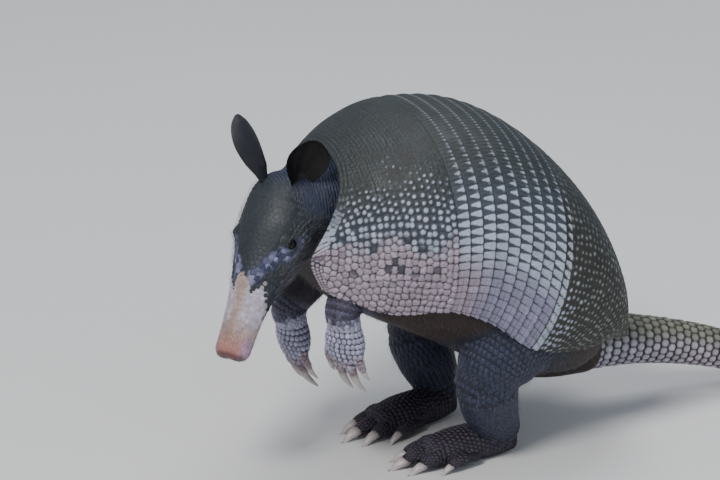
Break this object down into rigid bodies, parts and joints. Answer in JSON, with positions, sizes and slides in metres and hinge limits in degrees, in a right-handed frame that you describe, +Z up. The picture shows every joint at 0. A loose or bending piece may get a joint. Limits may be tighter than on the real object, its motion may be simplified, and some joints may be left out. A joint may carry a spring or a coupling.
{
  "type": "armadillo, life-size still model",
  "caption": "Life-size still model of an armadillo sitting back on its hind feet, head hanging and forepaws limp, with banded shell and long tail.",
  "frame": {"origin": "on the floor, under the middle of the model's box", "axes": "+Z up, -Y the way the animal faces, +X its left"},
  "size_m": [0.1876, 0.5962, 0.2405],
  "materials": {
    "shell_horn": "dark grey horn with pale rosettes, satin",
    "band_horn": "grey horn with pale wedges, satin",
    "tail_scale": "rings of cream and grey scales, satin",
    "head_scale": "dark grey-green horn scales, satin",
    "body_hide": "brown wrinkled hide with sparse hair, matte",
    "head_hide": "cream to pink hide on the snout, matte",
    "leg_hide": "slate hide with small scales and sparse hair, matte",
    "paw_hide": "pale bluish scaly hide, matte",
    "ear_hide": "dark bare ear skin, matte",
    "claw_horn": "pale horn, satin",
    "eye": "black wet eye, glossy"
  },
  "bodies": {
    "root": {"shell_front": "shell_horn", "shell_rear": "shell_horn", "band_1": "band_horn", "band_2": "band_horn", "band_3": "band_horn", "band_4": "band_horn", "band_5": "band_horn", "band_6": "band_horn", "band_7": "band_horn", "band_8": "band_horn", "band_9": "band_horn", "tail_1": "tail_scale", "tail_2": "tail_scale", "tail_3": "tail_scale", "tail_4": "tail_scale", "head_shield": "head_scale", "trunk": "body_hide", "neck": "body_hide", "head": "head_hide", "foreleg_left": "leg_hide", "thigh_left": "leg_hide", "shank_left": "leg_hide", "hind_foot_left": "leg_hide", "foreleg_right": "leg_hide", "thigh_right": "leg_hide", "shank_right": "leg_hide", "hind_foot_right": "leg_hide", "forepaw_left": "paw_hide", "forepaw_right": "paw_hide", "ear_left": "ear_hide", "ear_right": "ear_hide", "claw_fore_left_1": "claw_horn", "claw_fore_left_2": "claw_horn", "claw_fore_left_3": "claw_horn", "claw_fore_left_4": "claw_horn", "claw_fore_right_1": "claw_horn", "claw_fore_right_2": "claw_horn", "claw_fore_right_3": "claw_horn", "claw_fore_right_4": "claw_horn", "claw_hind_left_1": "claw_horn", "claw_hind_left_2": "claw_horn", "claw_hind_left_3": "claw_horn", "claw_hind_left_4": "claw_horn", "claw_hind_left_5": "claw_horn", "claw_hind_right_1": "claw_horn", "claw_hind_right_2": "claw_horn", "claw_hind_right_3": "claw_horn", "claw_hind_right_4": "claw_horn", "claw_hind_right_5": "claw_horn", "eye_left": "eye", "eye_right": "eye"}
  },
  "joints": []
}
